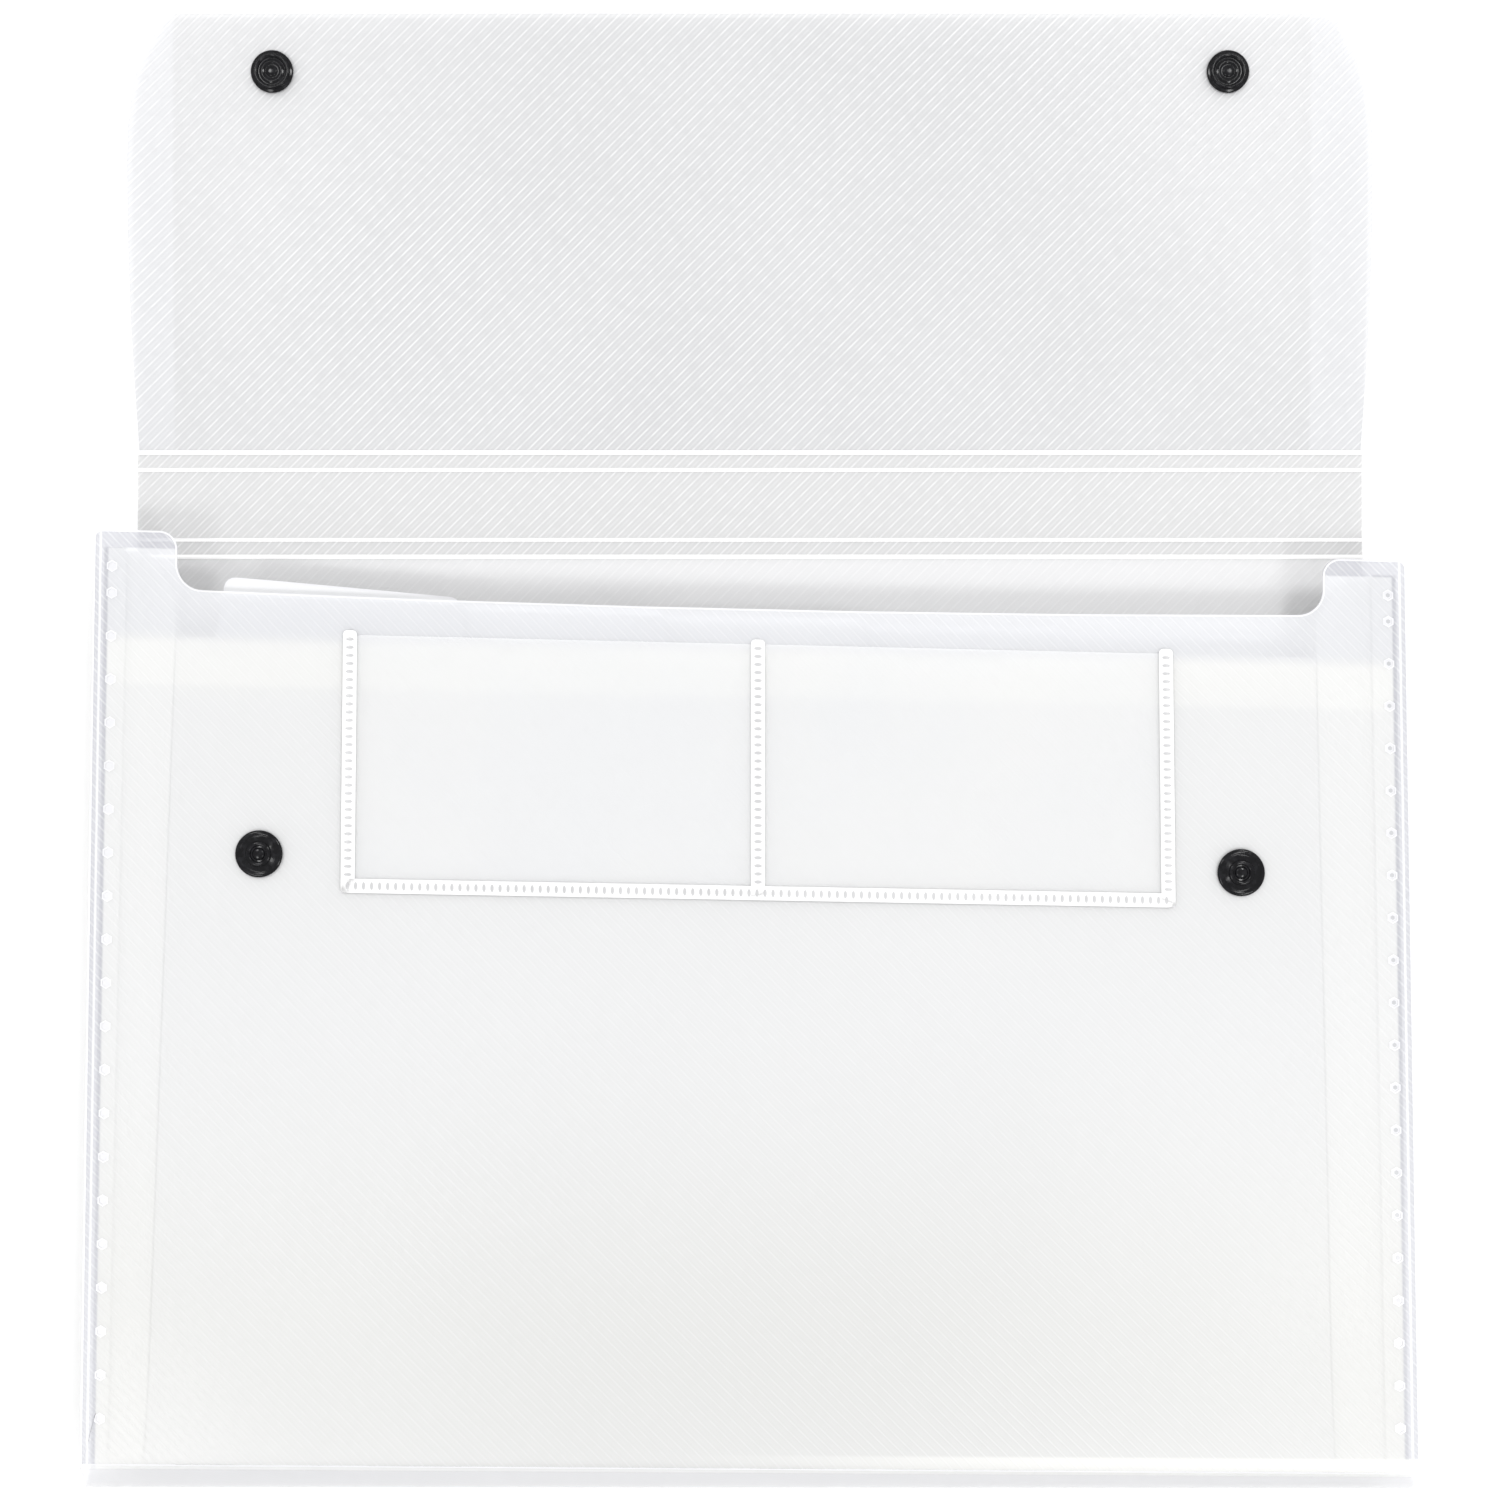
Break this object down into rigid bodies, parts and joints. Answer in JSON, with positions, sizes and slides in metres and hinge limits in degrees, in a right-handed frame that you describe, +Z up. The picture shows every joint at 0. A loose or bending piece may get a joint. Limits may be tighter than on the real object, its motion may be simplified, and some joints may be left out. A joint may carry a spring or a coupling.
{
  "type": "expanding file",
  "caption": "Flat translucent plastic expanding file with pleated side gussets, tabbed dividers, a front card pocket and a fold-over flap closed by press snaps.",
  "frame": {"origin": "on the surface that the file lies on, below the middle of the whole outline with the flap thrown open", "axes": "+X across the file, +Y from the pockets towards the open flap, +Z up, away from the back cover"},
  "size_m": [0.33, 0.3784, 0.0192],
  "materials": {
    "cover_sheet": "translucent frosted plastic sheet with fine diagonal embossing",
    "gusset_sheet": "thin milky plastic sheet, pleated",
    "divider_sheet": "thin translucent plastic sheet",
    "pocket_film": "clear glossy film with stitched-looking heat welds",
    "snap_plastic": "glossy black moulded plastic"
  },
  "bodies": {
    "file": {"cover": "cover_sheet", "gusset_left": "gusset_sheet", "gusset_right": "gusset_sheet", "divider_1": "divider_sheet", "divider_2": "divider_sheet", "divider_3": "divider_sheet", "divider_4": "divider_sheet", "divider_5": "divider_sheet", "card_pocket": "pocket_film", "snap_stud_left": "snap_plastic", "snap_stud_right": "snap_plastic", "front_cap_left": "snap_plastic", "front_cap_right": "snap_plastic"},
    "spacer": {"flap_spacer": "cover_sheet"},
    "flap": {"flap": "cover_sheet", "snap_socket_left": "snap_plastic", "snap_socket_right": "snap_plastic", "flap_cap_left": "snap_plastic", "flap_cap_right": "snap_plastic"}
  },
  "joints": [
    {"name": "flap_fold_lower", "type": "hinge", "parent": "file", "child": "spacer", "pos_m": [0, 0.0497, 0.0006], "axis": [1, 0, 0], "range_deg": [0, 42.9]},
    {"name": "flap_fold_upper", "type": "hinge", "parent": "spacer", "child": "flap", "pos_m": [0, 0.0765, 0.0006], "axis": [1, 0, 0], "range_deg": [0, 135.3]}
  ]
}
